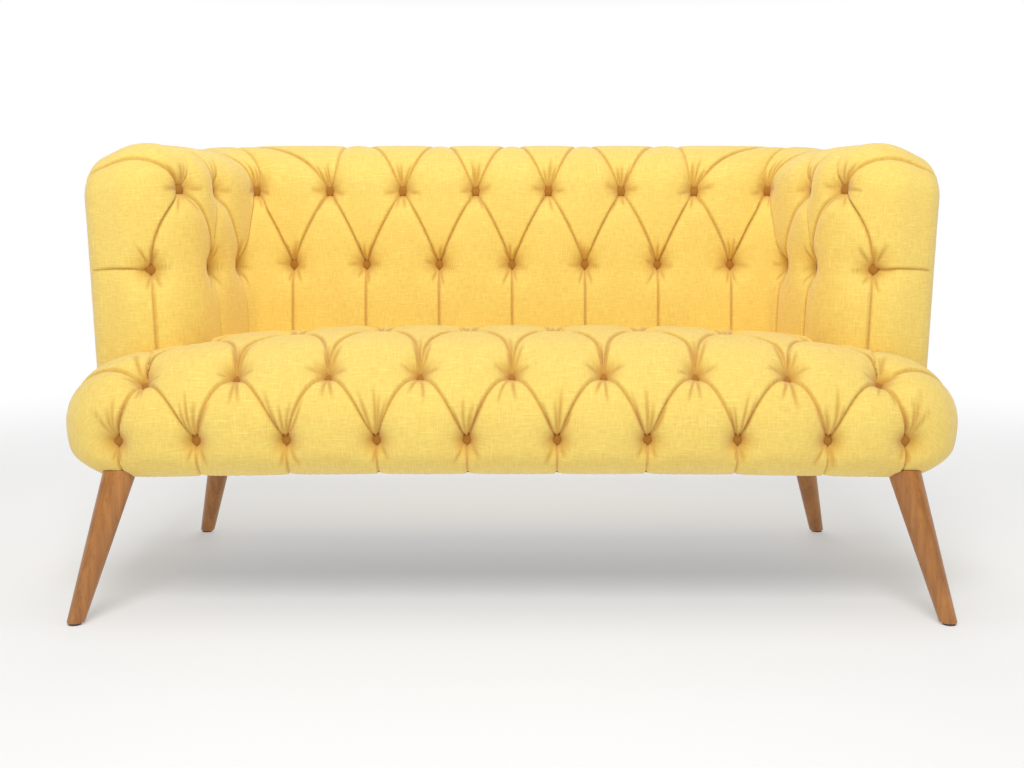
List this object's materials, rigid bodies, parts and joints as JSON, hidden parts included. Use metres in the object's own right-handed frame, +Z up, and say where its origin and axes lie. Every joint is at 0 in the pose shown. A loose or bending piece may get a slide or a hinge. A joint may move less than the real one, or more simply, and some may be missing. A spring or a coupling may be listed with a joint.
{
  "type": "tufted two-seat sofa",
  "caption": "Compact two-seat sofa with a deep-buttoned seat, low buttoned back and arms of one height, on splayed tapered wooden legs.",
  "frame": {"origin": "on the floor, at the middle of the sofa's width and depth", "axes": "+X to the sofa's right-hand side as seen from the front, +Y towards the back, +Z up; the sitter faces -Y"},
  "size_m": [1.424, 0.6394, 0.752],
  "materials": {
    "yellow_fabric": "matte linen-look weave",
    "brown_wood": "stained, satin lacquer",
    "frame_wood": "sawn, unfinished",
    "webbing": "woven elastic strap",
    "black_cloth": "thin non-woven cloth",
    "steel": "zinc plated",
    "glide_nylon": "matte moulded nylon"
  },
  "bodies": {
    "root": {"seat_pad": "yellow_fabric", "seat_rail_front": "frame_wood", "seat_rail_rear": "frame_wood", "seat_rail_left": "frame_wood", "seat_rail_right": "frame_wood", "cross_rail_left": "frame_wood", "cross_rail_right": "frame_wood", "leg_block_front_left": "frame_wood", "leg_block_front_right": "frame_wood", "leg_block_rear_left": "frame_wood", "leg_block_rear_right": "frame_wood", "webbing_fore_1": "webbing", "webbing_fore_2": "webbing", "webbing_fore_3": "webbing", "webbing_fore_4": "webbing", "webbing_fore_5": "webbing", "webbing_side_1": "webbing", "webbing_side_2": "webbing", "webbing_side_3": "webbing", "dust_cover": "black_cloth", "leg_front_left": "brown_wood", "leg_bolt_front_left": "steel", "glide_front_left": "glide_nylon", "leg_front_right": "brown_wood", "leg_bolt_front_right": "steel", "glide_front_right": "glide_nylon", "leg_rear_left": "brown_wood", "leg_bolt_rear_left": "steel", "glide_rear_left": "glide_nylon", "leg_rear_right": "brown_wood", "leg_bolt_rear_right": "steel", "glide_rear_right": "glide_nylon", "back_pad": "yellow_fabric", "back_rail_lower": "frame_wood", "back_rail_top": "frame_wood", "back_post_1": "frame_wood", "back_post_2": "frame_wood", "back_post_3": "frame_wood", "back_post_4": "frame_wood", "arm_pad_left": "yellow_fabric", "arm_rail_lower_left": "frame_wood", "arm_rail_top_left": "frame_wood", "arm_post_left": "frame_wood", "outside_arm_panel_left": "yellow_fabric", "arm_pad_right": "yellow_fabric", "arm_rail_lower_right": "frame_wood", "arm_rail_top_right": "frame_wood", "arm_post_right": "frame_wood", "outside_arm_panel_right": "yellow_fabric", "tub_bolt_1": "steel", "tub_bolt_2": "steel", "tub_bolt_3": "steel", "tub_bolt_4": "steel", "outside_back_panel": "yellow_fabric"}
  },
  "joints": []
}
